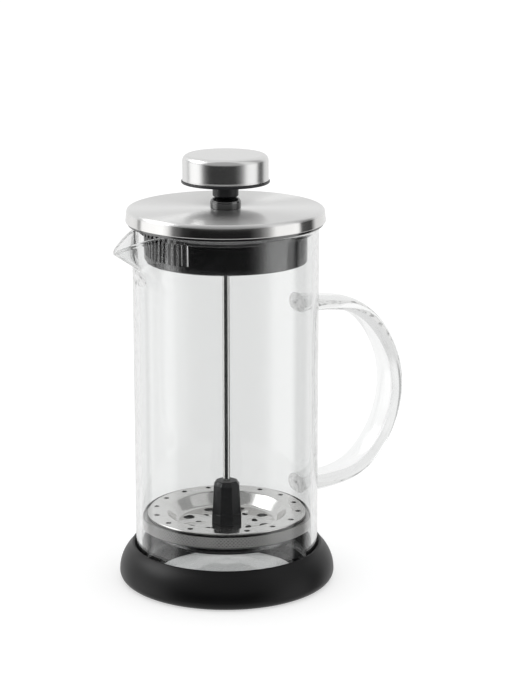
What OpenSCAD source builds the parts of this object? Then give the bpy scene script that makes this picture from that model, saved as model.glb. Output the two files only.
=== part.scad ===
// French press: a glass beaker with a fused glass handle, standing in an open
// black foot, with a steel lid, a rod with a knob, and a strainer stack.
// Origin: on the beaker's axis, in the plane that the foot rests on.
// +Z is up, the handle points along +X and the spout along -X. Millimetres.

/* [Beaker] */
// Outer diameter of the glass cylinder
glass_d = 75; // [72:0.5:77]
// Thickness of the glass wall
glass_wall = 2.3; // [2.1:0.1:2.6]
// Height of the rim above the table
rim_z = 148.5; // [146:0.5:152]
// Height of the underside of the glass above the table
glass_z = 3; // [2.5:0.1:3.5]
// Thickness of the glass floor
glass_floor = 3; // [2.5:0.1:4]

/* [Spout] */
// Distance from the axis to the tip of the spout
spout_reach = 51.7; // [49:0.1:53]
// How far the tip is below the rim
spout_drop = 5.6; // [4:0.1:7]
// How far the root of the spout's belly is below the rim
belly_drop = 20; // [17:0.5:23]
// Half of the angle that the spout takes out of the rim
spout_half_angle = 18; // [15:1:20]

/* [Handle] */
// Thickness of the glass strip
strip_t = 6; // [5:0.5:7]
// Width of the glass strip
strip_w = 16; // [13:0.5:18]
// Distance from the axis to the middle of the strip at its widest
handle_reach = 82.7; // [79:0.1:85]

/* [Foot] */
// Largest diameter of the foot
foot_d = 88.8; // [87:0.1:91]
// Height of the foot
foot_h = 15.3; // [14:0.1:17]
// Diameter of the opening under the glass
foot_hole_d = 56; // [50:1:60]

/* [Lid] */
// Diameter of the lid at the lower edge of its skirt
lid_d = 80.4; // [79.6:0.1:82]
// Height of the lid's flat top above the rim
lid_rise = 6.85; // [6:0.05:8]
// Sheet thickness of the lid
lid_t = 0.8; // [0.6:0.1:1]
// Depth of the liner's band below the rim
band_depth = 14.2; // [12:0.1:16]
// Number of pouring slots in the band
slot_n = 14; // [10:1:14]
// Width of one slot
slot_w = 0.8; // [0.6:0.1:1.2]

/* [Plunger] */
// Diameter of the rod
rod_d = 3; // [2.8:0.1:3.4]
// Diameter of the steel cap of the knob
knob_d = 34.4; // [32:0.1:36]
// Height of the steel cap
knob_h = 10.3; // [9.5:0.1:12]
// Length of the knob's neck
neck_l = 5.6; // [5:0.1:7]
// Height of the strainer disc's rim above the table with the plunger down
disc_z = 29; // [28:0.1:31]
// Diameter of the strainer disc
disc_d = 65.2; // [64:0.1:65.4]
// Depth of the strainer disc's dished middle
dish_depth = 5.4; // [5:0.1:6]

/* [Hidden] */

$fn = 96;
CUT = 1; // how far a cutting shape runs past what it cuts
RUNNING_GAP = 0.05; // radial clearance where one round part turns or slides in another
BODY_GAP = 0.3; // clearance between parts that move apart

// beaker
glass_r = glass_d / 2;
bore_r = glass_r - glass_wall;
floor_z = glass_z + glass_floor;
HEEL_R = 6; // outer rounding at the bottom of the beaker
INNER_HEEL_R = 4.2;
PUSH_UP = 0.8; // how far the middle of the glass floor is raised

// foot
foot_r = foot_d / 2;
FOOT_TOE_R = 3.5; // rounding of the foot's lower edge
FOOT_FLARE_R = 14.5; // radius of the foot's flared side
FOOT_FLARE_ANGLE = 46;
ledge_z = glass_z - 0.1;
foot_bore_r = glass_r + BODY_GAP;

// lid
lid_r = lid_d / 2;
lid_top_z = rim_z + lid_rise;
skirt_z = rim_z + 1.5;
LID_TAPER = 0.6; // how much narrower the lid is at its top
LID_EDGE_R = 1.6;
flange_z = rim_z + BODY_GAP;
FLANGE_R = 39.3; // outer radius of the liner's flange
BAND_T = 1.5; // wall thickness of the liner's band
BAND_GAP = 2.35; // radial gap between the band and the glass
band_r = bore_r - BAND_GAP;
band_z = rim_z - band_depth;
LOCATING_H = 2.6; // height of the ring that centres the lid in the glass
PLATE_T = 2; // thickness of the liner's top plate
plate_z = lid_top_z - lid_t - PLATE_T;
SLOT_PITCH = 4.8; // angle from one slot to the next
slot_z = band_z + 2.7;
slot_h = flange_z - 0.6 - slot_z;

// bushing
SHANK_R = 4.2;
COLLAR_R = 6.15;
COLLAR_H = 4.05;
NUT_H = 3.4;
NUT_R = 7.2; // to the corners
bushing_bore_r = rod_d / 2 + RUNNING_GAP;
collar_top_z = lid_top_z + COLLAR_H;

// knob
knob_r = knob_d / 2;
CAP_T = 0.7;
CAP_EDGE_R = 2.6;
NECK_R = 5.2;
RING_T = 1.1; // height of the black ring under the steel cap
RING_PROUD = 0.55; // how far that ring stands out past the cap
neck_z = collar_top_z + BODY_GAP;
ring_z = neck_z + neck_l;
cap_z = ring_z + RING_T;
knob_top_z = cap_z + knob_h;
INSERT_R = 3.2;
INSERT_L = 9;
insert_z = ring_z - 1;
rod_top_z = insert_z + INSERT_L;

// strainer stack
disc_r = disc_d / 2;
DISC_T = 0.6;
DISC_LIP = 1.2; // depth of the disc's turned-down edge
DISH_R = 25; // where the disc starts to slope down
DISH_FLOOR_R = 20.8;
RIM_HOLES = 16;
RIM_HOLE_R = 1.15;
RIM_HOLE_AT = 29.4;
RIM_HOLE_ANGLE = 6;
INNER_HOLES = 8;
BIG_HOLE_R = 2.3;
BIG_HOLE_AT = 16.6;
SMALL_HOLE_R = 1.25;
SMALL_HOLE_AT = 11.6;
BIG_HOLE_ANGLE = 39; // turns the inner holes away from the handle
dish_z = disc_z - dish_depth; // top of the dish floor
MESH_T = 0.3;
mesh_r = bore_r - BODY_GAP;
mesh_z = dish_z - DISC_T; // top of the flat mesh
MESH_TOP_BELOW_RIM = 0.8;
MESH_CORNER = 1.3; // how far the corner under the turned-up band is cut off
SPRING_TUBE_R = 1.15;
spring_r = (disc_r - DISC_T + mesh_r - MESH_T) / 2 - 0.1;
spring_z = disc_z - DISC_LIP - SPRING_TUBE_R - 0.1;
PLATE_RIM_R = 29.5;
PLATE_RIM_H = 3.6;
PLATE_RIM_T = 1.3;
PLATE_WEB_T = 1.2;
PLATE_HOLES = 8;
PLATE_HOLE_R = 4.8;
PLATE_HOLE_AT = 17.2;
BOSS_R = 5.2;
plate_top_z = mesh_z - MESH_T;
STUD_R = 2;
HUB_TOP_R = 5.35; // hub radii are to the corners of its eight sides
HUB_BASE_R = 6.3;
HUB_FOOT_R = 6.6;
HUB_FOOT_H = 4;
HUB_CHAMFER = 1.6;
HUB_TURN = -10.5; // sets one of the eight faces the way it sits in the photo
HUB_H = 17.8;
hub_top_z = dish_z + HUB_H;
ROD_GRIP = 9.5; // length of the rod inside the hub
rod_z = hub_top_z - ROD_GRIP;
NUT_BORE_R = 3.2;

STEEL = [0.78, 0.78, 0.77];
BLACK = [0.07, 0.07, 0.075];
GLASS = [0.85, 0.89, 0.89, 0.35];

// Points along an arc about c, from angle a0 to angle a1
function arc(c, r, a0, a1, n = 8) =
    [for (i = [0:n]) let (a = a0 + (a1 - a0) * i / n) c + r * [cos(a), sin(a)]];

// One point of the smooth curve through p, at the fraction t of segment i
function curve_point(p, i, t) =
    let (n = len(p) - 1, a = p[max(i - 1, 0)], b = p[i],
        c = p[min(i + 1, n)], d = p[min(i + 2, n)])
    0.5 * (2 * b + (c - a) * t + (2 * a - 5 * b + 4 * c - d) * t * t
        + (3 * b - a - 3 * c + d) * t * t * t);

function smooth_path(p, steps) =
    concat([for (i = [0:len(p) - 2], k = [0:steps - 1]) curve_point(p, i, k / steps)],
        [p[len(p) - 1]]);

module tube(r_out, r_in, h) {
    difference() {
        cylinder(r = r_out, h = h);
        translate([0, 0, -CUT]) cylinder(r = r_in, h = h + 2 * CUT);
    }
}

module ring_of(n, at, turn = 0) {
    for (i = [0:n - 1]) rotate(turn + i * 360 / n) translate([at, 0, 0]) children();
}

module base_foot() {
    toe_x = foot_r - FOOT_TOE_R;
    flare_x = foot_r - FOOT_FLARE_R;
    lip_r = 0.9;
    color(BLACK) rotate_extrude() polygon(concat(
        [[foot_hole_d / 2, 0]],
        arc([toe_x, FOOT_TOE_R], FOOT_TOE_R, -90, 0),
        arc([flare_x, FOOT_TOE_R], FOOT_FLARE_R, 6, FOOT_FLARE_ANGLE),
        arc([foot_bore_r + lip_r, foot_h - lip_r], lip_r, 60, 180, 6),
        [[foot_bore_r, ledge_z], [foot_hole_d / 2, ledge_z]]));
}

// The outside or, with a wall inset, the inside of the spout
module beak(inset) {
    root_z = rim_z - (inset > 0 ? 0 : 1.4);
    lift = inset > 0 ? 4 : 0;
    root_r = inset > 0 ? bore_r - 1.1 : glass_r - 1.6;
    root_angle = spout_half_angle - (inset > 0 ? 3 : 0);
    tip_r = 1.5;
    belly_z = rim_z - belly_drop + (inset > 0 ? 4 : 0);
    hull() {
        for (s = [-1, 1]) rotate(180 + s * root_angle) translate([root_r, 0, root_z + lift])
            sphere(r = 1.4, $fn = 24);
        rotate(180) translate([root_r, 0, belly_z]) sphere(r = 1.4, $fn = 24);
        rotate(180) translate([spout_reach - tip_r - inset, 0, rim_z - spout_drop - tip_r + lift])
            sphere(r = tip_r, $fn = 24);
        rotate(180) translate([spout_reach - tip_r - inset, 0, rim_z - spout_drop - tip_r])
            sphere(r = tip_r, $fn = 24);
    }
}

module glass_beaker() {
    lip_r = glass_wall / 2;
    color(GLASS) difference() {
        union() {
            rotate_extrude() polygon(concat(
                [[0, glass_z + PUSH_UP]],
                [[glass_r - HEEL_R - 6, glass_z]],
                arc([glass_r - HEEL_R, glass_z + HEEL_R], HEEL_R, -90, 0),
                arc([glass_r - lip_r, rim_z - lip_r], lip_r, 0, 90, 6),
                [[0, rim_z]]));
            beak(0);
        }
        rotate_extrude() polygon(concat(
            [[0, floor_z]],
            arc([bore_r - INNER_HEEL_R, floor_z + INNER_HEEL_R], INNER_HEEL_R, -90, 0),
            arc([bore_r + lip_r, rim_z - lip_r], lip_r, 180, 90, 6),
            [[bore_r + lip_r, rim_z + CUT], [0, rim_z + CUT]]));
        beak(2.2);
    }
}

// Middle line of the handle as [distance from the axis, height]
HANDLE_LINE = [[36, 112], [48.7, 110.7], [59.5, 108.4], [68, 103.2], [75, 95.2],
    [80, 85.6], [handle_reach - 0.3, 76.5], [handle_reach - 0.2, 67.5], [80.4, 58.5],
    [75.9, 49.2], [69, 41.2], [60.5, 36.2], [50, 34.2], [36, 33.8]];

module glass_handle() {
    steps = 3;
    sides = 14;
    path = smooth_path(HANDLE_LINE, steps);
    last = len(path) - 1;
    points = [for (i = [0:last])
        let (t = path[min(i + 1, last)] - path[max(i - 1, 0)],
            out = [-t[1], t[0]] / norm(t),
            near_wall = max(0, 1 - (path[i][0] - glass_r) / 12),
            half_t = strip_t / 2 * (1 + 0.5 * pow(near_wall, 2)))
        for (k = [0:sides - 1])
            let (a = 360 * k / sides, p = path[i] + out * half_t * cos(a))
            [p[0], strip_w / 2 * sin(a), p[1]]];
    faces = concat(
        [[for (k = [0:sides - 1]) k]],
        [[for (k = [sides - 1:-1:0]) last * sides + k]],
        [for (i = [0:last - 1], k = [0:sides - 1])
            let (a = i * sides + k, b = i * sides + (k + 1) % sides)
            [a, a + sides, b + sides, b]]);
    color(GLASS) difference() {
        polyhedron(points = points, faces = faces, convexity = 6);
        cylinder(r = glass_r, h = rim_z, $fn = 128);
    }
}

module lid_cover() {
    top_r = lid_r - LID_TAPER;
    edge_c = [top_r - LID_EDGE_R, lid_top_z - LID_EDGE_R];
    color(STEEL) rotate_extrude() polygon(concat(
        [[SHANK_R + RUNNING_GAP, lid_top_z]],
        arc(edge_c, LID_EDGE_R, 90, 0),
        [[lid_r, skirt_z], [lid_r - lid_t, skirt_z]],
        arc(edge_c, LID_EDGE_R - lid_t, 0, 90),
        [[SHANK_R + RUNNING_GAP, lid_top_z - lid_t]]));
}

module lid_liner() {
    wall_r = lid_r - LID_TAPER - lid_t - 0.3;
    ring_r = bore_r - BODY_GAP;
    color(BLACK) difference() {
        rotate_extrude() polygon([
            [SHANK_R + RUNNING_GAP, plate_z + PLATE_T],
            [wall_r - 1, plate_z + PLATE_T],
            [wall_r, plate_z + PLATE_T - 1],
            [wall_r, skirt_z],
            [FLANGE_R, skirt_z - 0.05],
            [FLANGE_R, flange_z],
            [ring_r, flange_z],
            [ring_r, rim_z - LOCATING_H + 0.3],
            [band_r, rim_z - LOCATING_H],
            [band_r, band_z],
            [band_r - BAND_T, band_z],
            [band_r - BAND_T, plate_z],
            [SHANK_R + RUNNING_GAP, plate_z]]);
        for (i = [0:slot_n - 1])
            rotate(180 + (i - (slot_n - 1) / 2) * SLOT_PITCH)
                translate([band_r - BAND_T - CUT, -slot_w / 2, slot_z])
                    cube([ring_r - band_r + BAND_T + 2 * CUT, slot_w, slot_h]);
    }
}

module lid_bushing() {
    round_r = 1.5;
    color(BLACK) rotate_extrude() polygon(concat(
        [[bushing_bore_r, plate_z - NUT_H - 0.4]],
        [[SHANK_R, plate_z - NUT_H - 0.4]],
        [[SHANK_R, lid_top_z + RUNNING_GAP]],
        arc([COLLAR_R - round_r, lid_top_z + RUNNING_GAP + round_r], round_r, -90, 0, 6),
        arc([COLLAR_R - round_r, collar_top_z - round_r], round_r, 0, 90, 6),
        [[bushing_bore_r, collar_top_z]]));
}

module bushing_nut() {
    color(BLACK) translate([0, 0, plate_z - RUNNING_GAP - NUT_H]) difference() {
        cylinder(r = NUT_R, h = NUT_H, $fn = 6);
        translate([0, 0, -CUT]) cylinder(r = SHANK_R, h = NUT_H + 2 * CUT);
    }
}

module plunger_rod() {
    color(STEEL) translate([0, 0, rod_z]) cylinder(d = rod_d, h = rod_top_z - rod_z);
}

module knob_cap() {
    edge_c = [knob_r - CAP_EDGE_R, knob_top_z - CAP_EDGE_R];
    crown = 0.15; // the flat top rises a little towards its middle
    color(STEEL) rotate_extrude() polygon(concat(
        [[0, knob_top_z + crown]],
        arc(edge_c, CAP_EDGE_R, 90, 0),
        [[knob_r, cap_z + 0.8], [knob_r + 0.2, cap_z]],
        [[knob_r - CAP_T, cap_z]],
        arc(edge_c, CAP_EDGE_R - CAP_T, 0, 90),
        [[0, knob_top_z - CAP_T]]));
}

module knob_core() {
    core_r = knob_r - CAP_T - 0.05;
    ring_r = knob_r + RING_PROUD;
    core_top_z = knob_top_z - CAP_EDGE_R - 0.6;
    color(BLACK) rotate_extrude() polygon(concat(
        [[rod_d / 2, neck_z], [NECK_R - 0.7, neck_z], [NECK_R, neck_z + 0.7]],
        [[NECK_R, ring_z - 0.6], [NECK_R + 0.6, ring_z]],
        [[ring_r - 0.6, ring_z], [ring_r, ring_z + 0.4]],
        [[ring_r, cap_z - 0.2], [ring_r - 0.2, cap_z - 0.02]],
        [[core_r, cap_z - 0.02], [core_r, core_top_z]],
        [[INSERT_R, core_top_z], [INSERT_R, insert_z], [rod_d / 2, insert_z]]));
}

module knob_insert() {
    color([0.72, 0.58, 0.32]) translate([0, 0, insert_z])
        tube(INSERT_R, rod_d / 2, INSERT_L);
}

module filter_hub() {
    foot_top_z = dish_z + HUB_FOOT_H;
    color(BLACK) difference() {
        rotate(HUB_TURN) {
            translate([0, 0, dish_z]) cylinder(r = HUB_FOOT_R, h = HUB_FOOT_H, $fn = 8);
            translate([0, 0, foot_top_z])
                cylinder(r1 = HUB_BASE_R, r2 = HUB_TOP_R + 0.3, $fn = 8,
                    h = HUB_H - HUB_FOOT_H - HUB_CHAMFER);
            translate([0, 0, hub_top_z - HUB_CHAMFER])
                cylinder(r1 = HUB_TOP_R + 0.3, r2 = HUB_TOP_R - HUB_CHAMFER, $fn = 8,
                    h = HUB_CHAMFER);
        }
        translate([0, 0, rod_z]) cylinder(d = rod_d, h = ROD_GRIP + CUT);
        translate([0, 0, dish_z - CUT]) cylinder(r = STUD_R, h = CUT + HUB_H - ROD_GRIP - 1);
    }
}

module filter_stud() {
    end_z = plate_top_z - PLATE_RIM_H - 1.4;
    dome_h = 0.8;
    color(STEEL) {
        translate([0, 0, end_z + dome_h])
            cylinder(r = STUD_R, h = dish_z + HUB_H - ROD_GRIP - 1 - end_z - dome_h);
        translate([0, 0, end_z]) cylinder(r1 = STUD_R - dome_h, r2 = STUD_R, h = dome_h);
    }
}

module strainer_disc() {
    color(STEEL) difference() {
        rotate_extrude() polygon([
            [STUD_R, mesh_z], [DISH_FLOOR_R + 0.2, mesh_z],
            [DISH_R + 0.2, disc_z - DISC_T], [disc_r - DISC_T, disc_z - DISC_T],
            [disc_r - DISC_T, disc_z - DISC_LIP], [disc_r, disc_z - DISC_LIP],
            [disc_r, disc_z - 0.3], [disc_r - 0.3, disc_z],
            [DISH_R, disc_z], [DISH_FLOOR_R, dish_z], [STUD_R, dish_z]]);
        ring_of(RIM_HOLES, RIM_HOLE_AT, RIM_HOLE_ANGLE) translate([0, 0, disc_z - DISC_T - CUT])
            cylinder(r = RIM_HOLE_R, h = DISC_T + 2 * CUT);
        ring_of(INNER_HOLES, BIG_HOLE_AT, BIG_HOLE_ANGLE) translate([0, 0, mesh_z - CUT])
            cylinder(r = BIG_HOLE_R, h = DISC_T + 2 * CUT);
        ring_of(INNER_HOLES, SMALL_HOLE_AT, BIG_HOLE_ANGLE + 180 / INNER_HOLES)
            translate([0, 0, mesh_z - CUT])
                cylinder(r = SMALL_HOLE_R, h = DISC_T + 2 * CUT);
    }
}

module edge_spring() {
    color(STEEL) translate([0, 0, spring_z]) rotate_extrude()
        translate([spring_r, 0]) circle(r = SPRING_TUBE_R, $fn = 32);
}

module mesh_screen() {
    top_z = disc_z - MESH_TOP_BELOW_RIM;
    color(STEEL) rotate_extrude() polygon([
        [STUD_R, plate_top_z], [mesh_r - MESH_CORNER, plate_top_z],
        [mesh_r, plate_top_z + MESH_CORNER],
        [mesh_r, top_z], [mesh_r - MESH_T, top_z],
        [mesh_r - MESH_T, mesh_z + MESH_CORNER - 0.2],
        [mesh_r - MESH_T - MESH_CORNER + 0.2, mesh_z], [STUD_R, mesh_z]]);
}

module cross_plate() {
    color(BLACK) difference() {
        union() {
            translate([0, 0, plate_top_z - PLATE_WEB_T]) cylinder(r = PLATE_RIM_R, h = PLATE_WEB_T);
            translate([0, 0, plate_top_z - PLATE_RIM_H])
                tube(PLATE_RIM_R, PLATE_RIM_R - PLATE_RIM_T, PLATE_RIM_H);
            translate([0, 0, plate_top_z - PLATE_RIM_H]) cylinder(r = BOSS_R, h = PLATE_RIM_H);
        }
        ring_of(PLATE_HOLES, PLATE_HOLE_AT) translate([0, 0, plate_top_z - PLATE_WEB_T - CUT])
            cylinder(r = PLATE_HOLE_R, h = PLATE_WEB_T + 2 * CUT);
        translate([0, 0, plate_top_z - PLATE_RIM_H - CUT])
            cylinder(r = NUT_BORE_R, h = PLATE_RIM_H + 2 * CUT);
    }
}

module plate_nut() {
    color(STEEL) translate([0, 0, plate_top_z - PLATE_RIM_H])
        tube(NUT_BORE_R, STUD_R, PLATE_RIM_H);
}

base_foot();
glass_beaker();
glass_handle();
lid_cover();
lid_liner();
lid_bushing();
bushing_nut();
plunger_rod();
knob_cap();
knob_core();
knob_insert();
filter_hub();
filter_stud();
strainer_disc();
edge_spring();
mesh_screen();
cross_plate();
plate_nut();
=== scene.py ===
import math
import bmesh
import bpy
import numpy as np
from mathutils import Matrix, Vector


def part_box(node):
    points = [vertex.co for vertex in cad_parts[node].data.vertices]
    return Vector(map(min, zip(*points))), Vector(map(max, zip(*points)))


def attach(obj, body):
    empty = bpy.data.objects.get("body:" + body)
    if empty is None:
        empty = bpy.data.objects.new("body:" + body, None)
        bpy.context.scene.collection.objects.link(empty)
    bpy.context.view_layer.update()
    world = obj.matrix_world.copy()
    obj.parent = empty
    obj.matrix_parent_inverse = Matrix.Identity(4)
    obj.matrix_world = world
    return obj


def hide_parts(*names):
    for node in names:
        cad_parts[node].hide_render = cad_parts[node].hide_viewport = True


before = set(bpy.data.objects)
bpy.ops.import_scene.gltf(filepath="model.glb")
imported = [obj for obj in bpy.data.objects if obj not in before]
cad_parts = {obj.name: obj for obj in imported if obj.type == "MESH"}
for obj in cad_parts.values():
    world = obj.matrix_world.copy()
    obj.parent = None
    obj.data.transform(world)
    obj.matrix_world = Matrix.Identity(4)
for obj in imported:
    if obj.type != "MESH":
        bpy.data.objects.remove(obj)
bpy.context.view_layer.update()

# Pieces are drawn in millimetres, as (radius or x, height) outlines round the +Z axis.
MM = 0.001
ROUND = 192  # segments of a turned piece
SMOOTH_ANGLE = math.radians(28)
GLASS_SHARP = math.radians(60)


def low(node):
    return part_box(node)[0].z / MM


def high(node):
    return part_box(node)[1].z / MM


def radius(node):
    lo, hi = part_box(node)
    return max(hi.x - lo.x, hi.y - lo.y) / 2 / MM


# ---------------------------------------------------------------- mesh helpers

def rounded(corners, steps=6):
    """An outline from (x, z, fillet) corners, where each fillet becomes an arc."""
    points = []
    for i, (x, z, fillet) in enumerate(corners):
        here = Vector((x, z))
        if not fillet:
            points.append(here)
            continue
        back = (Vector(corners[i - 1][:2]) - here).normalized()
        ahead = (Vector(corners[(i + 1) % len(corners)][:2]) - here).normalized()
        half = back.angle(ahead) / 2
        centre = here + (back + ahead).normalized() * (fillet / math.sin(half))
        start = here + back * (fillet / math.tan(half)) - centre
        end = here + ahead * (fillet / math.tan(half)) - centre
        turn = start.angle_signed(end)
        for k in range(steps + 1):
            spoke = start.copy()
            spoke.rotate(Matrix.Rotation(-turn * k / steps, 2))
            points.append(centre + spoke)
    return [(p.x, p.y) for p in points]


def arc(x, z, r, start, end, steps):
    """Points on an arc about (x, z), between two angles in degrees."""
    spans = [math.radians(start + (end - start) * k / steps) for k in range(steps + 1)]
    return [(x + r * math.cos(a), z + r * math.sin(a)) for a in spans]


def new_piece(name, verts, faces, body, slot, materials, replaces=(), sharp=SMOOTH_ANGLE):
    """A smooth-shaded mesh piece from points in millimetres."""
    mesh = bpy.data.meshes.new(name)
    mesh.from_pydata([(x * MM, y * MM, z * MM) for x, y, z in verts], [], faces)
    shell = bmesh.new()
    shell.from_mesh(mesh)
    bmesh.ops.recalc_face_normals(shell, faces=shell.faces)
    shell.to_mesh(mesh)
    shell.free()
    mesh.shade_smooth()
    mesh.set_sharp_from_angle(angle=sharp)
    for material in materials:
        mesh.materials.append(material)
    piece = bpy.data.objects.new(name, mesh)
    bpy.context.scene.collection.objects.link(piece)
    if body:
        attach(piece, body)
    if replaces:
        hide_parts(*replaces)
    return piece


def turned(outline, segments=ROUND):
    """Vertices and faces of a closed outline turned round the axis."""
    verts, faces, rings = [], [], []
    for x, z in outline:
        if x < 1e-6:
            rings.append([len(verts)] * segments)
            verts.append((0, 0, z))
        else:
            rings.append(range(len(verts), len(verts) + segments))
            for k in range(segments):
                a = 2 * math.pi * k / segments
                verts.append((x * math.cos(a), x * math.sin(a), z))
    for i in range(len(rings)):
        a, b = rings[i], rings[(i + 1) % len(rings)]
        for k in range(segments):
            m = (k + 1) % segments
            loop = list(dict.fromkeys((a[k], a[m], b[m], b[k])))
            if len(loop) > 2:
                faces.append(loop)
    return verts, faces


def lathe(name, outline, body, slot, material, replaces=(), segments=ROUND):
    return new_piece(name, *turned(outline, segments), body, slot, [material], replaces)


def cut(piece, verts, faces):
    """Cuts the closed shapes given in millimetres out of a piece."""
    cutter = new_piece("cutter", verts, faces, None, None, [])
    modifier = piece.modifiers.new("cut", "BOOLEAN")
    modifier.object = cutter
    modifier.operation = "DIFFERENCE"
    modifier.solver = "EXACT"
    bake_modifiers(piece)
    bpy.data.objects.remove(cutter)
    piece.data.set_sharp_from_angle(angle=SMOOTH_ANGLE)


def bake_modifiers(piece):
    """Replaces a piece's mesh by what its modifiers make of it."""
    graph = bpy.context.evaluated_depsgraph_get()
    done = bpy.data.meshes.new_from_object(piece.evaluated_get(graph))
    piece.modifiers.clear()
    piece.data = done


def join_shapes(shapes):
    """One (verts, faces) from several."""
    verts, faces = [], []
    for v, f in shapes:
        start = len(verts)
        verts += v
        faces += [[i + start for i in face] for face in f]
    return verts, faces


def peg(x, y, r, z0, z1, sides=28):
    """A short cylinder at (x, y)."""
    ring = [(math.cos(2 * math.pi * k / sides), math.sin(2 * math.pi * k / sides))
            for k in range(sides)]
    verts = [(x + r * c, y + r * s, z) for z in (z0, z1) for c, s in ring]
    faces = [[k, (k + 1) % sides, sides + (k + 1) % sides, sides + k] for k in range(sides)]
    return verts, faces + [list(range(sides))[::-1], list(range(sides, 2 * sides))]


def peg_ring(count, at, r, turn, z0, z1, sides=28):
    """Pegs spaced evenly round a circle of radius at, the first one at turn degrees."""
    angles = [math.radians(turn + 360 * k / count) for k in range(count)]
    return [peg(at * math.cos(a), at * math.sin(a), r, z0, z1, sides) for a in angles]


def swept(centres, across, up, sides, closed):
    """A tube through centres, with each ring's two half axes given as vectors."""
    verts = []
    for c, a, u in zip(centres, across, up):
        for k in range(sides):
            t = 2 * math.pi * k / sides
            verts.append(tuple(c + a * math.cos(t) + u * math.sin(t)))
    rings = len(centres)
    faces = []
    for i in range(rings if closed else rings - 1):
        j = (i + 1) % rings
        for k in range(sides):
            m = (k + 1) % sides
            faces.append([i * sides + k, i * sides + m, j * sides + m, j * sides + k])
    if not closed:
        faces.append(list(range(sides))[::-1])
        faces.append([(rings - 1) * sides + k for k in range(sides)])
    return verts, faces


# ------------------------------------------------------------------- materials

class Nodes:
    """A node tree, with short calls for the nodes used here."""

    def __init__(self, tree):
        self.tree = tree

    def add(self, kind, inputs=None, **settings):
        node = self.tree.nodes.new(kind)
        for key, value in settings.items():
            setattr(node, key, value)
        for key, value in (inputs or {}).items():
            if isinstance(value, bpy.types.NodeSocket):
                self.tree.links.new(value, node.inputs[key])
            else:
                node.inputs[key].default_value = value
        return node

    def math(self, operation, a, b=0.0):
        return self.add("ShaderNodeMath", {0: a, 1: b}, operation=operation).outputs[0]

    def ramp(self, value, low_out, high_out, low_in=0.0, high_in=1.0):
        inputs = {"Value": value, "From Min": low_in, "From Max": high_in,
                  "To Min": low_out, "To Max": high_out}
        return self.add("ShaderNodeMapRange", inputs).outputs[0]

    def fade(self, value, start, end):
        """Goes from 0 to 1 while value goes from start to end."""
        return self.ramp(value, 0.0, 1.0, start, end)

    def blend(self, a, b, share):
        """a, moved towards b by a share of the way."""
        return self.math("ADD", a, self.math("MULTIPLY", self.math("SUBTRACT", b, a), share))

    def mix_shader(self, share, a, b):
        return self.add("ShaderNodeMixShader", {0: share, 1: a, 2: b}).outputs[0]

    def reflections(self, count):
        """1 on a ray that has been reflected more than count times on its way, otherwise 0."""
        bounces = self.add("ShaderNodeLightPath").outputs["Glossy Depth"]
        return self.math("GREATER_THAN", bounces, count + 0.5)


class Surface(Nodes):
    """A material built on the Principled shader."""

    def __init__(self, name):
        self.material = bpy.data.materials.new(name)
        self.material.use_nodes = True
        super().__init__(self.material.node_tree)
        self.shader = self.tree.nodes["Principled BSDF"]

    def set(self, **values):
        for key, value in values.items():
            socket = self.shader.inputs[key.replace("_", " ")]
            if isinstance(value, bpy.types.NodeSocket):
                self.tree.links.new(value, socket)
            else:
                socket.default_value = value

    def show(self, shader):
        """Puts a mixed shader in the Principled shader's place."""
        self.tree.links.new(shader, self.tree.nodes["Material Output"].inputs["Surface"])

    def place(self):
        return self.add("ShaderNodeTexCoord").outputs["Object"]

    def noise(self, vector, scale, detail=3.0, roughness=0.5):
        inputs = {"Vector": vector, "Scale": scale, "Detail": detail, "Roughness": roughness}
        return self.add("ShaderNodeTexNoise", inputs).outputs["Fac"]

    def mix_colour(self, fac, a, b):
        node = self.add("ShaderNodeMix", data_type="RGBA")
        self.tree.links.new(fac, node.inputs[0])
        node.inputs[6].default_value = (*a, 1)
        node.inputs[7].default_value = (*b, 1)
        return node.outputs[2]

    def bump(self, height, strength, distance):
        inputs = {"Height": height, "Strength": strength, "Distance": distance}
        return self.add("ShaderNodeBump", inputs).outputs["Normal"]

    def rings(self, pitch, wobble=0.0):
        """Noise that is drawn out into circles round the axis, as turning or spinning leaves."""
        split = self.add("ShaderNodeSeparateXYZ", {0: self.place()}).outputs
        square = self.math("ADD", self.math("MULTIPLY", split[0], split[0]),
                           self.math("MULTIPLY", split[1], split[1]))
        along = self.add("ShaderNodeCombineXYZ", {
            0: self.math("DIVIDE", self.math("SQRT", square), pitch),
            1: self.math("DIVIDE", split[2], pitch),
            2: self.math("MULTIPLY", self.math("ARCTAN2", split[1], split[0]), wobble),
        }).outputs[0]
        return self.noise(along, 1.0, 2.0, 0.6)


def make_glass():
    """Clear glass that lets light in without caustics.

    To a ray that has been reflected more than once, the glass is a soft painted glow that
    stands in for the light such rays would carry. Without it the welds would turn into black
    blobs. The painted glow dies out near the black foot.
    """
    m = Surface("clear_glass")
    ripple = m.noise(m.place(), 38.0, 1.0)
    # the grey base colour is partly the glass's own tint and partly painted shade that dims what
    # shows through it
    m.set(Base_Color=(0.875, 0.88, 0.878, 1), Roughness=0.0, IOR=1.47,
          Transmission_Weight=1.0, Normal=m.bump(ripple, 0.035, 0.002))
    path = m.add("ShaderNodeLightPath").outputs
    lets_light_in = m.math("MAXIMUM", path["Is Shadow Ray"], path["Is Diffuse Ray"])
    clear = m.add("ShaderNodeBsdfTransparent", {"Color": (0.9, 0.92, 0.915, 1)})
    seen = m.mix_shader(lets_light_in, m.shader.outputs[0], clear.outputs[0])
    # strength of the painted glow: patchy swirls, fading out near the foot
    swirl = m.ramp(m.noise(m.place(), 420.0, 2.0), 0.4, 0.8, 0.38, 0.5)
    height = m.add("ShaderNodeSeparateXYZ", {0: m.place()}).outputs[2]
    above_foot = m.ramp(height, 0.02, 1.0, 0.014, 0.024)
    painted_glow = m.add("ShaderNodeEmission", {"Color": (1.0, 1.0, 0.995, 1),
                                        "Strength": m.math("MULTIPLY", swirl, above_foot)})
    m.show(m.mix_shader(m.reflections(1), seen, painted_glow.outputs[0]))
    return m.material


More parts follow.
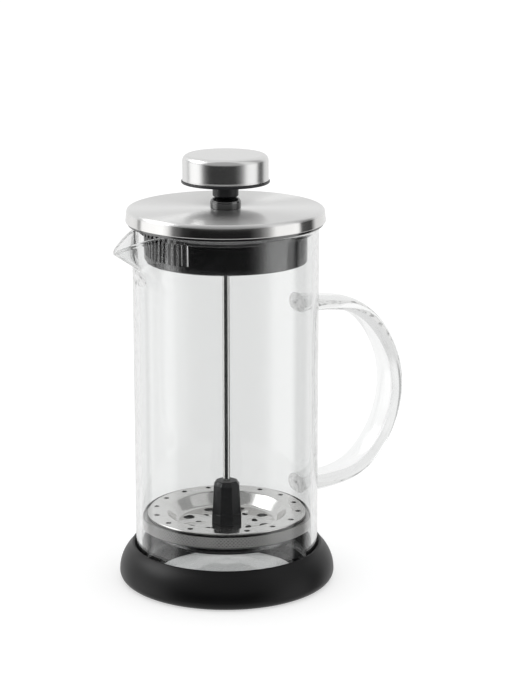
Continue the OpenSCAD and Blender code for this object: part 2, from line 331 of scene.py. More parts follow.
def make_satin_steel(name, roughness, brushed):
    """Spun stainless steel: fine circular lines, and a shine drawn out across them."""
    m = Surface(name)
    lines = m.rings(0.00022, 0.6)
    patch = m.noise(m.place(), 60.0, 4.0)
    m.set(Metallic=1.0, Base_Color=m.mix_colour(lines, (0.70, 0.70, 0.695), (0.74, 0.74, 0.735)),
          Roughness=m.math("ADD", m.ramp(lines, roughness - 0.02, roughness + 0.02),
                           m.ramp(patch, -0.02, 0.02)),
          Normal=m.bump(lines, 0.03, 0.0001), Anisotropic=brushed, Anisotropic_Rotation=0.25,
          Tangent=m.add("ShaderNodeTangent", direction_type="RADIAL", axis="Z").outputs[0])
    return m.material


def make_polished_steel():
    m = Surface("polished_steel")
    lines = m.rings(0.0004, 1.5)
    smear = m.noise(m.place(), 120.0, 4.0, 0.6)
    m.set(Metallic=1.0, Base_Color=m.mix_colour(smear, (0.68, 0.675, 0.665), (0.76, 0.755, 0.745)),
          Roughness=m.math("ADD", m.ramp(lines, 0.06, 0.12), m.ramp(smear, 0.0, 0.05)),
          Normal=m.bump(smear, 0.05, 0.0003))
    return m.material


def make_wire():
    m = Surface("steel_wire")
    smear = m.noise(m.place(), 900.0, 3.0)
    m.set(Metallic=1.0, Base_Color=m.mix_colour(smear, (0.72, 0.71, 0.70), (0.9, 0.89, 0.88)),
          Roughness=m.ramp(smear, 0.35, 0.5))
    return m.material


def make_mesh_sheet():
    """Woven wire cloth seen too small to draw wire by wire."""
    m = Surface("wire_cloth")
    spots = m.add("ShaderNodeVectorMath", {0: m.place(), 1: (2400.0, 2400.0, 2400.0)},
                  operation="MULTIPLY").outputs[0]
    split = m.add("ShaderNodeSeparateXYZ", {0: spots}).outputs
    weave = m.math("MULTIPLY", m.math("SINE", m.math("MULTIPLY", split[0], math.pi)),
                   m.math("SINE", m.math("MULTIPLY", split[1], math.pi)))
    # the weave pattern is the cloth's own; the dark between the wires is painted shade in the
    # cloth's openings
    m.set(Metallic=0.9, Base_Color=m.mix_colour(m.ramp(weave, 0, 1, -1, 1), (0.03, 0.03, 0.03),
                                                (0.3, 0.3, 0.3)),
          Roughness=m.ramp(weave, 0.5, 0.35, -1, 1), Normal=m.bump(weave, 0.6, 0.0001))
    return m.material


def make_gloss_black():
    m = Surface("gloss_black_plastic")
    haze = m.noise(m.place(), 70.0, 3.0)
    m.set(Base_Color=m.mix_colour(haze, (0.0015, 0.0015, 0.0018), (0.003, 0.003, 0.0035)),
          Roughness=m.ramp(haze, 0.07, 0.13), IOR=2.2,
          Normal=m.bump(haze, 0.04, 0.0006))
    return m.material


def make_satin_black():
    """Moulded plastic of the knob core and the hub: satin, with a faint grain."""
    m = Surface("satin_black_plastic")
    grain = m.noise(m.place(), 2600.0, 2.0)
    patch = m.noise(m.place(), 90.0, 3.0)
    m.set(Base_Color=m.mix_colour(patch, (0.006, 0.006, 0.0075), (0.011, 0.011, 0.013)),
          Roughness=m.math("ADD", m.ramp(patch, 0.3, 0.4), m.ramp(grain, -0.04, 0.04)),
          Normal=m.bump(grain, 0.08, 0.00005))
    return m.material


def make_foot_plastic():
    """Matte black moulding with a fine spark-eroded grain and a few rub marks."""
    m = Surface("matte_black_foot")
    grain = m.noise(m.place(), 1900.0, 3.0, 0.6)
    wear = m.noise(m.place(), 45.0, 5.0, 0.65)
    m.set(Base_Color=m.mix_colour(wear, (0.0018, 0.0018, 0.002), (0.0035, 0.0035, 0.004)),
          Roughness=m.math("ADD", m.ramp(wear, 0.34, 0.44), m.ramp(grain, -0.03, 0.03)),
          Specular_IOR_Level=0.24,
          Normal=m.bump(grain, 0.12, 0.00006))
    return m.material


def make_brass():
    m = Surface("turned_brass")
    lines = m.rings(0.0002, 0.4)
    m.set(Metallic=1.0, Base_Color=m.mix_colour(lines, (0.60, 0.44, 0.20), (0.78, 0.60, 0.30)),
          Roughness=m.ramp(lines, 0.2, 0.35))
    return m.material


GLASS = make_glass()
LID_STEEL = make_satin_steel("satin_lid_steel", 0.3, 0.95)
KNOB_STEEL = make_satin_steel("satin_knob_steel", 0.25, 0.0)
POLISHED = make_polished_steel()
WIRE = make_wire()
CLOTH = make_mesh_sheet()
GLOSS_BLACK = make_gloss_black()
SATIN_BLACK = make_satin_black()
FOOT = make_foot_plastic()
BRASS = make_brass()


# --------------------------------------------------------------- driving sizes

GAP = 0.3  # clearance between fitted parts
GLASS_R = 37.5
WALL = 2.3
BORE_R = GLASS_R - WALL
RIM_Z = high("glass_beaker")
GLASS_Z = low("glass_beaker")
SPOUT_REACH = -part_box("glass_beaker")[0].x / MM
LID_TOP = high("lid_cover")
SKIRT_Z = low("lid_cover")
DISC_Z = high("strainer_disc")
DISC_R = radius("strainer_disc")
DISH_FLOOR = low("filter_hub")


# ------------------------------------------------------------------------ foot

FOOT_TOE_R = 3.5
FOOT_FLARE_R = 14.5
FOOT_LIP_R = 0.9
FOOT_HOLE_R = 28.0


def make_foot():
    r, top = radius("base_foot"), high("base_foot")
    bore, ledge = GLASS_R + GAP, GLASS_Z - 0.1
    toe_x = r - FOOT_TOE_R
    toe = arc(toe_x, FOOT_TOE_R, FOOT_TOE_R, -90, 0, 8)
    flare = arc(r - FOOT_FLARE_R, FOOT_TOE_R, FOOT_FLARE_R, 6, 46, 12)
    lip = arc(bore + FOOT_LIP_R, top - FOOT_LIP_R, FOOT_LIP_R, 60, 180, 8)
    seat = rounded([(bore, top - 4, 0), (bore, ledge, 0.5), (FOOT_HOLE_R, ledge, 0.4),
                    (FOOT_HOLE_R, 0, 0.4), (toe_x, 0, 0)])
    lathe("foot_ring", toe + flare + lip + seat[1:-1], "foot", "foot_plastic", FOOT,
          ["base_foot"])


# ---------------------------------------------------------------------- beaker

SPOUT_HALF = math.radians(19)  # half of the angle that the V takes out of the rim
SPOUT_TIP_SOFT = math.radians(2.2)
SPOUT_DROP = 5.6  # how far the tip is below the rim
SPOUT_WALL = 1.2  # the glass is drawn thinner there
SPOUT_THIN = math.radians(36)  # how far round the thinner glass reaches
BELLY_Z = RIM_Z - 22.5  # where the belly under the spout starts
BELLY_OUT = 3.6
BELLY_HALF = math.radians(13.5)
FLOOR_T = 3
HEEL_R = 6
INNER_HEEL_R = 4.2
PUSH_UP = 0.8  # how far the middle of the glass floor is raised
AROUND = 480  # points round the beaker


def smooth_max(a, b, width):
    return (a + b + np.sqrt((a - b) ** 2 + width ** 2)) / 2


def spout_plan(phi):
    """How far the rim's outline stands out at an angle phi from the spout's middle."""
    rc, rs = GLASS_R * math.cos(SPOUT_HALF), GLASS_R * math.sin(SPOUT_HALF)
    e = SPOUT_TIP_SOFT
    tip = SPOUT_REACH * (rs * math.cos(e) - rc * math.sin(e)) / (rs - SPOUT_REACH * math.sin(e))
    soft = np.sqrt(phi ** 2 + e ** 2)
    line = tip * rs / (rs * np.cos(soft) + (tip - rc) * np.sin(soft))
    near = np.abs(phi) < math.radians(60)
    return np.where(near, smooth_max(GLASS_R, line, 0.8), GLASS_R) - GLASS_R


def make_beaker():
    angles = np.linspace(0, 2 * np.pi, AROUND, endpoint=False)
    phi = angles - math.pi
    out = spout_plan(phi)
    share = np.clip(out / (SPOUT_REACH - GLASS_R), 0, 1)
    round_out = np.exp(-(phi / BELLY_HALF) ** 4)
    rim = RIM_Z - SPOUT_DROP * share ** 1.5
    thin = np.exp(-(phi / SPOUT_THIN) ** 6)
    wall = WALL + (SPOUT_WALL - WALL) * thin
    lip = wall / 2
    straight_z = BELLY_Z - 4
    rows = [np.full_like(angles, z) for z in np.linspace(GLASS_Z + HEEL_R, straight_z, 12)]
    top_rows = 64
    for k in range(1, top_rows + 1):
        rows.append(straight_z + (rim - lip - straight_z) * k / top_rows)
    z = np.array(rows)
    # t is 0 where the belly starts and 1 at the rim. The belly swells over the lower half, and
    # the sharp V of the spout takes over from it from about a third of the way up.
    t = np.clip((z - BELLY_Z) / (rim - BELLY_Z), 0, 1)
    belly = BELLY_OUT * (1 - np.cos(np.pi * np.clip(t / 0.5, 0, 1))) / 2
    sharp_rise = smooth_max(0.0, (t - 0.36) / 0.56, 0.10) - 0.005
    sharp_rise = np.minimum(sharp_rise, 1)
    r = GLASS_R + smooth_max(belly * round_out * (1 - sharp_rise) ** 0.5, out * sharp_rise, 0.5)
    r -= 0.25
    r = np.maximum(r, GLASS_R)
    outer = np.stack([r * np.cos(angles), r * np.sin(angles), z], -1)
    around = np.roll(outer, -1, 1) - np.roll(outer, 1, 1)
    upward = np.gradient(outer, axis=0)
    normal = np.cross(around, upward)
    normal /= np.linalg.norm(normal, axis=-1, keepdims=True)
    thick = WALL + (SPOUT_WALL - WALL) * thin * t ** 0.7
    inner = outer - normal * thick[..., None]
    centre = outer[-1] - normal[-1] * lip[:, None]
    lip_rows = []
    for k in range(1, 10):
        a = math.pi * k / 10
        lip_rows.append(centre + lip[:, None] * (normal[-1] * math.cos(a)
                                                 + np.array([0, 0, math.sin(a)])))
    floor_z = GLASS_Z + FLOOR_T

    def ring(radius_, height):
        return np.stack([radius_ * np.cos(angles), radius_ * np.sin(angles),
                         np.full_like(angles, height)], -1)

    def quarter(x, z, r, start, end):
        return [ring(*point) for point in arc(x, z, r, start, end, 10)]

    heel = quarter(GLASS_R - HEEL_R, GLASS_Z + HEEL_R, HEEL_R, -90, 0)[:-1]
    inner_heel = quarter(BORE_R - INNER_HEEL_R, floor_z + INNER_HEEL_R, INNER_HEEL_R, 0, -90)[1:]
    push_up_r = 26
    base = [ring(x, GLASS_Z + PUSH_UP * (1 - (x / push_up_r) ** 2))
            for x in (4, 8, 13, 18, 22, push_up_r)]
    # the inside of the floor: a low mound with a small dimple
    inner_base = [ring(x, floor_z + 0.7 * math.exp(-(x / 9) ** 2) - 0.35 * math.exp(-(x / 3) ** 2))
                  for x in (28, 23, 18, 13, 9, 6, 3.5, 1.8)]
    layers = base + heel + list(outer) + lip_rows + list(inner[::-1]) + inner_heel + inner_base
    n = len(angles)
    verts = [tuple(p) for layer in layers for p in layer]
    faces = [[i * n + k, i * n + (k + 1) % n, (i + 1) * n + (k + 1) % n, (i + 1) * n + k]
             for i in range(len(layers) - 1) for k in range(n)]
    verts += [(0, 0, GLASS_Z + PUSH_UP), (0, 0, floor_z + 0.35)]
    last = (len(layers) - 1) * n
    faces += [[(k + 1) % n, k, len(verts) - 2] for k in range(n)]
    faces += [[last + k, last + (k + 1) % n, len(verts) - 1] for k in range(n)]
    return new_piece("beaker_glass", verts, faces, None, None, [GLASS],
                     sharp=GLASS_SHARP)


# ---------------------------------------------------------------------- handle

HANDLE_LINE = [(35.2, 112.1), (48.7, 110.7), (59.5, 108.4), (68, 103.2), (75, 95.2), (80, 85.6),
               (82.35, 76.5), (82.45, 67.5), (80.4, 58.5), (75.9, 49.2), (69, 41.2),
               (60.5, 36.2), (50, 34.2), (35.2, 33.7)]
STRIP_T = 6.0
STRIP_W = 15.2
STRIP_FLAT = 0.78  # below 1 the strip's section is squarer than an ellipse
WELD_REACH = 6.0  # how fast the strip takes its own size away from the wall
WELD_THICKER = 0.9
WELD_NARROWER = 1.2


def smooth_line(points, steps):
    """A curve through the points."""
    p = [Vector(q) for q in points]
    p = [2 * p[0] - p[1]] + p + [2 * p[-1] - p[-2]]
    line = []
    for i in range(1, len(p) - 2):
        a, b, c, d = p[i - 1:i + 3]
        for k in range(steps):
            t = k / steps
            line.append(0.5 * (2 * b + (c - a) * t + (2 * a - 5 * b + 4 * c - d) * t * t
                               + (3 * b - a - 3 * c + d) * t ** 3))
    return line + [p[-2]]


def make_handle():
    line = smooth_line(HANDLE_LINE, 10)
    sides = 48
    verts, faces = [], []
    for i, p in enumerate(line):
        along = (line[min(i + 1, len(line) - 1)] - line[max(i - 1, 0)]).normalized()
        out = Vector((-along.y, along.x))
        near_wall = math.exp(-max(p.x - GLASS_R, 0) / WELD_REACH)
        half_t = STRIP_T / 2 + WELD_THICKER * near_wall
        half_w = STRIP_W / 2 - WELD_NARROWER * near_wall
        for k in range(sides):
            a = 2 * math.pi * k / sides
            c, s = math.cos(a), math.sin(a)
            c = math.copysign(abs(c) ** STRIP_FLAT, c)
            s = math.copysign(abs(s) ** STRIP_FLAT, s)
            q = p + out * (half_t * c)
            verts.append((q.x, half_w * s, q.y))
    n = sides
    for i in range(len(line) - 1):
        for k in range(n):
            m = (k + 1) % n
            faces.append([i * n + k, i * n + m, (i + 1) * n + m, (i + 1) * n + k])
    faces.append(list(range(n))[::-1])
    faces.append([(len(line) - 1) * n + k for k in range(n)])
    return new_piece("handle_glass", verts, faces, None, None, [GLASS],
                     sharp=GLASS_SHARP)


def weld(beaker, handle):
    """Melts the handle into the wall, then parts the two again at the wall's surface."""
    modifier = beaker.modifiers.new("weld", "BOOLEAN")
    modifier.object = handle
    modifier.operation = "UNION"
    modifier.solver = "EXACT"
    bake_modifiers(beaker)
    bpy.data.objects.remove(handle)
    outside = (GLASS_R + 0.02) * MM
    for name, node, keep in (("beaker_glass", "glass_beaker", False),
                             ("handle_glass", "glass_handle", True)):
        mesh = beaker.data.copy()
        shell = bmesh.new()
        shell.from_mesh(mesh)
        drop = []
        for face in shell.faces:
            c = face.calc_center_median()
            is_handle = c.x > 0 and max(math.hypot(v.co.x, v.co.y) for v in face.verts) > outside
            if is_handle != keep:
                drop.append(face)
        bmesh.ops.delete(shell, geom=drop, context="FACES")
        shell.to_mesh(mesh)
        shell.free()
        mesh.set_sharp_from_angle(angle=GLASS_SHARP)
        piece = bpy.data.objects.new(name, mesh)
        bpy.context.scene.collection.objects.link(piece)
        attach(piece, "vessel")
        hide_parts(node)
    bpy.data.objects.remove(beaker)


# ------------------------------------------------------------------------- lid

LID_T = 0.8
LID_DISH = 0.35  # how far tightening the bushing has drawn the middle of the lid down
LID_TAPER = 0.6
SHANK_R = 4.2  # of the bushing, through the lid
PLATE_DROP = 2.0  # from the lid's sheet down to the underside of the liner's top plate
BAND_R = BORE_R - 2.35
BAND_T = 1.5
LOCATING_DEPTH = 2.6  # how far below the rim the ring that centres the lid reaches
SLOTS = 14
SLOT_PITCH = 4.8  # degrees
SLOT_HALF = 0.42
SLOT_EASE = 0.3  # how far the slots' outer edges are eased
NUT_R = 7.2  # to the corners


def make_lid_cover():
    r, top, hole = radius("lid_cover"), LID_TOP, SHANK_R + 0.1
    middle = top - LID_DISH
    side = r - LID_TAPER
    outline = rounded([
        (hole, middle, 0), (side, top, 1.5), (r - 0.02, SKIRT_Z, 0.3),
        (r - LID_T, SKIRT_Z, 0), (side - LID_T, top - LID_T, 0.9), (hole, middle - LID_T, 0)])
    lid = lathe("lid_cover_steel", outline, "lid", "brushed_steel", LID_STEEL, ["lid_cover"], 256)
    lid.data.materials.append(POLISHED)
    skirt_top = (top - 1.3) * MM
    for face in lid.data.polygons:
        if face.center.z < skirt_top and abs(face.normal.z) < 0.8:
            face.material_index = 1


def slot_shape(turn, z0, z1, outer_r):
    """The closed shape of one pouring slot, wider where it opens outwards."""
    inner_r, ease_r, wide = BAND_R - 3, BAND_R - SLOT_EASE, SLOT_HALF + SLOT_EASE
    plan = [(inner_r, -SLOT_HALF), (ease_r, -SLOT_HALF), (BAND_R, -wide), (outer_r, -wide),
            (outer_r, wide), (BAND_R, wide), (ease_r, SLOT_HALF), (inner_r, SLOT_HALF)]
    n = len(plan)
    c, s = math.cos(turn), math.sin(turn)
    verts = [(x * c - y * s, x * s + y * c, z) for z in (z0, z1) for x, y in plan]
    sides = [[k, (k + 1) % n, n + (k + 1) % n, n + k] for k in range(n)]
    return verts, sides + [list(range(n))[::-1], list(range(n, 2 * n))]


def make_lid_liner():
    band_z, flange_z = low("lid_liner"), RIM_Z + GAP
    ring_r, flange_r = BORE_R - GAP, 39.3
    inner_r, ring_z = BAND_R - BAND_T, RIM_Z - LOCATING_DEPTH
    plate = LID_TOP - LID_T - PLATE_DROP
    wall_r = radius("lid_cover") - LID_TAPER - LID_T - GAP
    outline = rounded([
        (SHANK_R + 0.1, plate + 1.5, 0), (wall_r, plate + 1.9, 0.8), (wall_r, SKIRT_Z, 0),
        (flange_r, SKIRT_Z - 0.05, 0.3), (flange_r, flange_z, 0.3), (ring_r, flange_z, 0.2),
        (ring_r, ring_z, 0.4), (BAND_R, ring_z, 0), (BAND_R, band_z, 0.45),
        (inner_r, band_z, 0.45), (inner_r, plate, 0.5), (SHANK_R + 0.1, plate, 0)], 4)
    liner = lathe("lid_liner_plastic", outline, "lid", "black_plastic", GLOSS_BLACK,
                  ["lid_liner"], 256)
    turns = [math.pi + math.radians((i - (SLOTS - 1) / 2) * SLOT_PITCH) for i in range(SLOTS)]
    slots = [slot_shape(turn, band_z + 2.7, flange_z - 0.6, ring_r + 1) for turn in turns]
    cut(liner, *join_shapes(slots))


def make_guide():
    bore, top = 1.55, high("lid_bushing")
    bottom = low("lid_bushing")
    seat_z, collar_r = LID_TOP - 0.3, 6.15
    outline = rounded([
        (bore, bottom, 0), (SHANK_R, bottom, 0.4), (SHANK_R, seat_z, 0), (collar_r, seat_z, 0.3),
        (collar_r, top, 1.9), (2.6, top, 0.3), (bore, top - 0.6, 0)], 8)
    lathe("lid_bushing_plastic", outline, "guide", "black_plastic", GLOSS_BLACK,
          ["lid_bushing"], 96)
    z0, z1 = low("bushing_nut"), high("bushing_nut")
    verts, faces = peg(0, 0, NUT_R, z0, z1, 6)
    nut = new_piece("bushing_nut_plastic", verts, faces, "guide", "black_plastic", [SATIN_BLACK],
                    ["bushing_nut"])
    cut(nut, *peg(0, 0, SHANK_R + 0.02, z0 - 1, z1 + 1, 64))
    bevel(nut, 0.35)


def bevel(piece, width, segments=3):
    modifier = piece.modifiers.new("bevel", "BEVEL")
    modifier.width = width * MM
    modifier.segments = segments
    modifier.limit_method = "ANGLE"
    modifier.angle_limit = math.radians(30)
    modifier.harden_normals = True
    bake_modifiers(piece)


# --------------------------------------------------------------------- plunger

def make_rod():
    r, bottom, top = radius("plunger_rod"), low("plunger_rod"), high("plunger_rod")
    outline = [(0, bottom), (r - 0.3, bottom), (r, bottom + 0.3), (r, top - 0.3),
               (r - 0.3, top), (0, top)]
    lathe("rod_steel", outline, "rod", "polished_steel", POLISHED, ["plunger_rod"], 64)


def make_knob():
    bore, socket_r = 1.54, 3.2
    r, z0, z1 = radius("knob_cap"), low("knob_cap"), high("knob_cap")
    side = r - 0.2
    outline = rounded([
        (0, z1, 0), (side - 2.6, z1 - 0.15, 0), (side, z1 - 0.2, 2.5), (side, z0 + 0.9, 0.6),
        (r, z0 + 0.1, 0.15), (side - 0.7, z0, 0), (side - 0.7, z1 - 0.9, 1.9), (0, z1 - 0.8, 0)], 8)
    lathe("knob_cap_steel", outline, "plunger", "brushed_steel", KNOB_STEEL, ["knob_cap"], 224)
    ring_r, neck_z, top = radius("knob_core"), low("knob_core"), high("knob_core")
    ring_z = z0 - 1.1
    outline = rounded([
        (bore, neck_z, 0), (5.2, neck_z, 0.8), (5.2, ring_z, 0.7), (ring_r, ring_z, 0.55),
        (ring_r, z0 - 0.05, 0.4), (side - 0.8, z0 - 0.05, 0), (side - 0.8, top, 0.4),
        (socket_r, top, 0), (socket_r, ring_z - 1, 0), (bore, ring_z - 1, 0)], 6)
    lathe("knob_core_plastic", outline, "plunger", "black_plastic", SATIN_BLACK,
          ["knob_core"], 192)


def make_hub():
    bore, bore_depth, sides = 1.52, 9.6, 8
    z0, z1 = low("filter_hub"), high("filter_hub")
    # (radius to the corners, height)
    levels = [(6.55, z0), (6.5, z0 + 4), (6.3, z0 + 4.25), (5.65, z1 - 1.7), (4.4, z1)]
    turn = math.radians(22.5 - 33)  # one of the faces is square to the camera
    verts, faces = [], []
    for r, z in levels:
        corners = [turn + 2 * math.pi * k / sides for k in range(sides)]
        verts += [(r * math.cos(a), r * math.sin(a), z) for a in corners]
    for i in range(len(levels) - 1):
        for k in range(sides):
            m = (k + 1) % sides
            faces.append([i * sides + k, i * sides + m, (i + 1) * sides + m, (i + 1) * sides + k])
    faces += [list(range(sides))[::-1], [(len(levels) - 1) * sides + k for k in range(sides)]]
    hub = new_piece("filter_hub_plastic", verts, faces, "plunger", "black_plastic", [SATIN_BLACK],
                    ["filter_hub"])
    cut(hub, *peg(0, 0, bore, z1 - bore_depth, z1 + 1, 48))
    bevel(hub, 0.45)


BIG_HOLE_TURN = 39.0  # degrees
SMALL_HOLE_TURN = BIG_HOLE_TURN + 22.5  # the small holes and the ribs lie between the big ones
RIM_HOLE_TURN = 6.0
RIB_H = 0.45
RIBS = 8


def ridge(r, a):
    """Height of the pressed ribs in the disc's dish, in mm."""
    inside = np.clip((20.5 - r) / 2.5, 0, 1) * np.clip((r - 8.5) / 2.5, 0, 1)
    off_rib = RIBS * (a - math.radians(SMALL_HOLE_TURN) - 0.012 * r)
    return RIB_H * inside * np.clip(np.cos(off_rib), 0, 1) ** 6


def make_strainer():
    top, edge, floor, sheet = DISC_Z, DISC_R, DISH_FLOOR, 0.6
    hem_z = top - 1.0
    section = rounded([(2.05, floor, 0), (20.8, floor, 2.4), (25.0, top, 2.0), (edge, top, 0.45),
                       (edge, hem_z, 0)], 8)[:-1]
    dense = []
    for (x0, z0), (x1, z1) in zip(section, section[1:]):
        steps = max(1, int(math.hypot(x1 - x0, z1 - z0) / 0.9))
        dense += [(x0 + (x1 - x0) * k / steps, z0 + (z1 - z0) * k / steps) for k in range(steps)]
    dense.append((edge, hem_z))
    n = 288
    verts, faces = [], []
    under = [(x - (sheet if x > edge - 0.5 else 0), z - (sheet if x < edge - 0.5 else 0))
             for x, z in dense[::-1]]
    under[0] = (edge - sheet, hem_z)
    profile = dense + under
    for x, z in profile:
        for k in range(n):
            a = 2 * math.pi * k / n
            verts.append((x * math.cos(a), x * math.sin(a), z + float(ridge(np.array(x), a))))
    rows = len(profile)
    for i in range(rows):
        j = (i + 1) % rows
        for k in range(n):
            m = (k + 1) % n
            faces.append([i * n + k, i * n + m, j * n + m, j * n + k])
    disc = new_piece("strainer_disc_steel", verts, faces, "plunger", "polished_steel", [POLISHED],
                     ["strainer_disc"], sharp=math.radians(40))
    holes = []
    for count, at, r, turn in ((16, 29.4, 1.15, RIM_HOLE_TURN), (8, 16.6, 2.3, BIG_HOLE_TURN),
                               (8, 11.6, 1.25, SMALL_HOLE_TURN)):
        holes += peg_ring(count, at, r, turn, floor - 3, top + 2)
    cut(disc, *join_shapes(holes))


def make_spring():
    """The coil that presses the screen against the glass."""
    lo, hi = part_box("edge_spring")
    tube = (hi.z - lo.z) / 2 / MM
    turns, wire = 120, 0.3
    coil = tube - wire
    ring_r = radius("edge_spring") - tube
    z = (lo.z + hi.z) / 2 / MM
    per_turn = 10
    total = turns * per_turn
    centres, across, up = [], [], []
    for i in range(total):
        a, c = 2 * math.pi * i / total, 2 * math.pi * i / per_turn
        radial = Vector((math.cos(a), math.sin(a), 0))
        spoke = radial * math.cos(c) + Vector((0, 0, math.sin(c)))
        along = Vector((-math.sin(a), math.cos(a), 0))
        centres.append(radial * ring_r + Vector((0, 0, z)) + spoke * coil)
        across.append(spoke * wire)
        up.append(along * wire)
    new_piece("edge_spring_coil", *swept(centres, across, up, 6, True), "plunger",
              "polished_steel", [WIRE], ["edge_spring"])


def make_screen():
    """The wire cloth: a flat sheet, and a woven band turned up round the edge."""
    r, z0, z1 = radius("mesh_screen"), low("mesh_screen"), high("mesh_screen")
    hole, cloth_r, inside_r, cloth_top = 2.1, r - 0.34, r - 0.44, z0 + 0.2
    outline = rounded([
        (hole, z0, 0), (cloth_r, z0, 1.9), (cloth_r, z1, 0.04), (inside_r, z1, 0.04),
        (inside_r, cloth_top, 1.7), (hole, cloth_top, 0)], 6)
    lathe("screen_cloth", outline, "plunger", "steel_mesh", CLOTH, ["mesh_screen"], 192)
    wire, wires, bend = 0.13, 150, 0.07
    weave_r, z_low, z_high = r - wire - bend - 0.01, z0 + 1.1, z1 - wire
    lean = (z_high - z_low) / weave_r
    shapes = []
    for side in (-1, 1):
        for c in range(wires):
            crossings = 2 * lean / (2 * math.pi / wires)
            steps = 2 * math.ceil(crossings)
            centres, across, along = [], [], []
            for k in range(steps + 1):
                a = 2 * math.pi * c / wires + side * lean * k / steps
                radial = Vector((math.cos(a), math.sin(a), 0))
                wave = bend * side * math.cos(math.pi * crossings * k / steps + math.pi * c)
                centres.append(radial * (weave_r + wave)
                               + Vector((0, 0, z_low + (z_high - z_low) * k / steps)))
                across.append(radial * wire)
                along.append(Vector((-math.sin(a), math.cos(a), -side)).normalized() * wire)
            shapes.append(swept(centres, across, along, 5, False))
    new_piece("screen_weave_band", *join_shapes(shapes), "plunger", "steel_mesh", [WIRE])


def make_lower_plate():
    r, z0, z1 = radius("cross_plate"), low("cross_plate"), high("cross_plate")
    hole, boss_r, web_z, wall_r = 3.2, 5.2, z1 - 1.2, r - 1.3
    outline = rounded([
        (hole, z0, 0), (boss_r, z0, 0.4), (boss_r, web_z, 0.5), (wall_r, web_z, 0.5),
        (wall_r, z0, 0.4), (r, z0, 0.5), (r, z1, 0.4), (hole, z1, 0)], 5)
    plate = lathe("lower_plate_plastic", outline, "plunger", "black_plastic", GLOSS_BLACK,
                  ["cross_plate"], 160)
    cut(plate, *join_shapes(peg_ring(8, 17.2, 4.8, 0, z0 - 1, z1 + 1, 40)))


make_foot()
weld(make_beaker(), make_handle())
make_lid_cover()
make_lid_liner()
make_guide()
make_rod()
make_knob()
make_hub()
make_strainer()
make_spring()
make_screen()
make_lower_plate()

for node, material in (("filter_stud", POLISHED), ("plate_nut", BRASS), ("knob_insert", BRASS)):
    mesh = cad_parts[node].data
    mesh.materials.clear()
    mesh.materials.append(material)


# ----------------------------------------------------------- stage, light, camera

VIEW_AZIMUTH = math.radians(-33)
VIEW_ELEVATION = math.radians(14.18)


def make_floor():
    """A pale floor. Reflections of it are left to the studio walls in the world's shader."""
    mesh = bpy.data.meshes.new("floor")
    half = 6.0
    mesh.from_pydata([(-half, -half, 0), (half, -half, 0), (half, half, 0), (-half, half, 0)],
                     [], [(0, 1, 2, 3)])
    floor = bpy.data.objects.new("floor", mesh)
    bpy.context.scene.collection.objects.link(floor)
    m = Surface("pale_floor")
    m.set(Base_Color=(0.6, 0.6, 0.6, 1), Roughness=1.0, Specular_IOR_Level=0.0,
          Emission_Color=(1, 1, 1, 1), Emission_Strength=0.5)
    clear = m.add("ShaderNodeBsdfTransparent")
    m.show(m.mix_shader(m.reflections(0), m.shader.outputs[0], clear.outputs[0]))
    mesh.materials.append(m.material)


# Brightness of the studio as the steel reflects it: (degrees to the right of the camera,
# brightness). The dark stretch in the middle is the unlit side that the camera stands on.
STUDIO_WALLS = [(-180, 0.5), (-150, 0.52), (-135, 0.58), (-121, 0.55), (-118, 0.25), (-114, 0.25),
                (-110, 0.72), (-76, 0.8), (-69, 0.66), (-61, 0.12), (-48, 0.02), (-36, 0.006),
                (28, 0.008), (40, 0.07), (50, 0.24), (60, 0.66), (92, 0.72), (97, 0.06),
                (116, 0.03), (126, 0.5), (150, 0.52), (180, 0.5)]
STUDIO_STRENGTH = 1.8
TABLE = 0.45  # brightness below
CEILING = 0.52  # the greatest brightness overhead
DARK_CEILING = 0.26  # the least brightness overhead, on the unlit side
WINDOW = 2.2
WINDOW_AT = -100  # degrees to the right of the camera
WINDOW_HALF_TURN = 30 / 360
WINDOW_FULL = 0.45  # the share of its half width that is at full brightness
# Where one blends into the next, as the z of a direction: 0 is level and 1 is overhead.
CEILING_FADE = (0.1, 0.28)
WINDOW_LOW_FADE = (0.38, 0.5)
WINDOW_HIGH_FADE = (0.82, 0.72)
TABLE_FADE = (-0.38, -0.5)


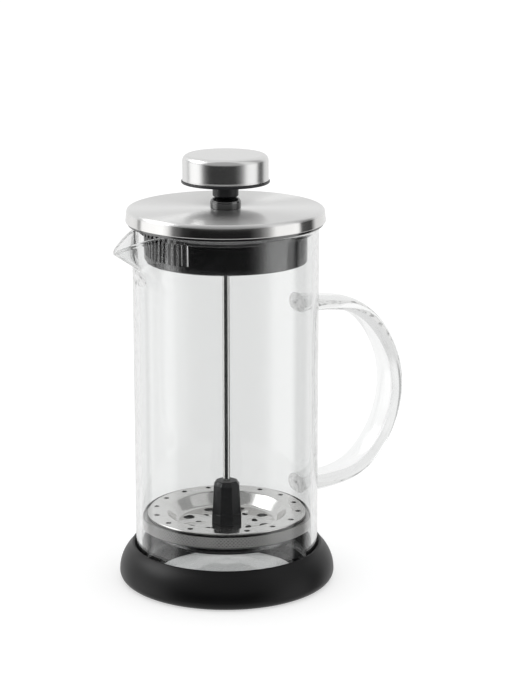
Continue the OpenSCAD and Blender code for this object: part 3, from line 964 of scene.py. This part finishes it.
def make_world():
    """Plain white to look at. A reflection sees the studio's walls, ceiling and window."""
    world = bpy.data.worlds.new("studio")
    bpy.context.scene.world = world
    world.use_nodes = True
    world.node_tree.nodes.clear()
    n = Nodes(world.node_tree)
    direction = n.add("ShaderNodeSeparateXYZ",
                      {0: n.add("ShaderNodeTexCoord").outputs["Generated"]}).outputs
    towards_camera = math.atan2(-math.cos(VIEW_AZIMUTH), math.sin(VIEW_AZIMUTH))
    angle = n.math("ARCTAN2", direction[1], direction[0])
    turn = n.math("FRACT", n.math("ADD", n.math("DIVIDE", n.math("SUBTRACT", angle, towards_camera),
                                                2 * math.pi), 2.5))
    walls = n.add("ShaderNodeValToRGB", {0: turn})
    stops = walls.color_ramp.elements
    for degrees, _ in STUDIO_WALLS[1:-1]:
        stops.new((degrees + 180) / 360)
    for stop, (degrees, value) in zip(stops, STUDIO_WALLS):
        stop.position = (degrees + 180) / 360
        stop.color = (value, value, value, 1)
    rise = direction[2]
    wall = walls.outputs[0]
    ceiling = n.math("MAXIMUM", n.math("MINIMUM", wall, CEILING), DARK_CEILING)
    lit = n.blend(wall, ceiling, n.fade(rise, *CEILING_FADE))
    off_middle = n.math("ABSOLUTE", n.math("SUBTRACT", turn, 0.5 + WINDOW_AT / 360))
    across = n.fade(off_middle, WINDOW_HALF_TURN, WINDOW_HALF_TURN * WINDOW_FULL)
    upward = n.math("MULTIPLY", n.fade(rise, *WINDOW_LOW_FADE), n.fade(rise, *WINDOW_HIGH_FADE))
    window = n.math("MULTIPLY", across, upward)
    lit = n.math("ADD", lit, n.math("MULTIPLY", window, WINDOW))
    lit = n.blend(lit, TABLE, n.fade(rise, *TABLE_FADE))
    studio = n.add("ShaderNodeBackground", {"Color": lit, "Strength": STUDIO_STRENGTH})
    plain = n.add("ShaderNodeBackground", {"Color": (1, 1, 1, 1), "Strength": 1.0})
    both = n.mix_shader(n.reflections(0), plain.outputs[0], studio.outputs[0])
    n.add("ShaderNodeOutputWorld", {"Surface": both})


def make_camera():
    data = bpy.data.cameras.new("camera")
    camera = bpy.data.objects.new("camera", data)
    bpy.context.scene.collection.objects.link(camera)
    data.lens = 112.2
    data.sensor_width = 36
    data.clip_end = 50
    distance, look_height, aside = 0.886, 0.0964, 0.01274
    a, e = VIEW_AZIMUTH, VIEW_ELEVATION
    back = Vector((math.sin(a) * math.cos(e), -math.cos(a) * math.cos(e), math.sin(e)))
    right = Vector((math.cos(a), math.sin(a), 0))
    camera.location = Vector((0, 0, look_height)) + right * aside + back * distance
    camera.rotation_mode = "QUATERNION"
    camera.rotation_quaternion = (-back).to_track_quat("-Z", "Y")
    bpy.context.scene.camera = camera


make_floor()
make_world()
make_camera()
bpy.context.scene.view_settings.view_transform = "Standard"
cycles = bpy.context.scene.cycles
cycles.max_bounces = 24
cycles.transmission_bounces = 24
cycles.glossy_bounces = 10
cycles.transparent_max_bounces = 32
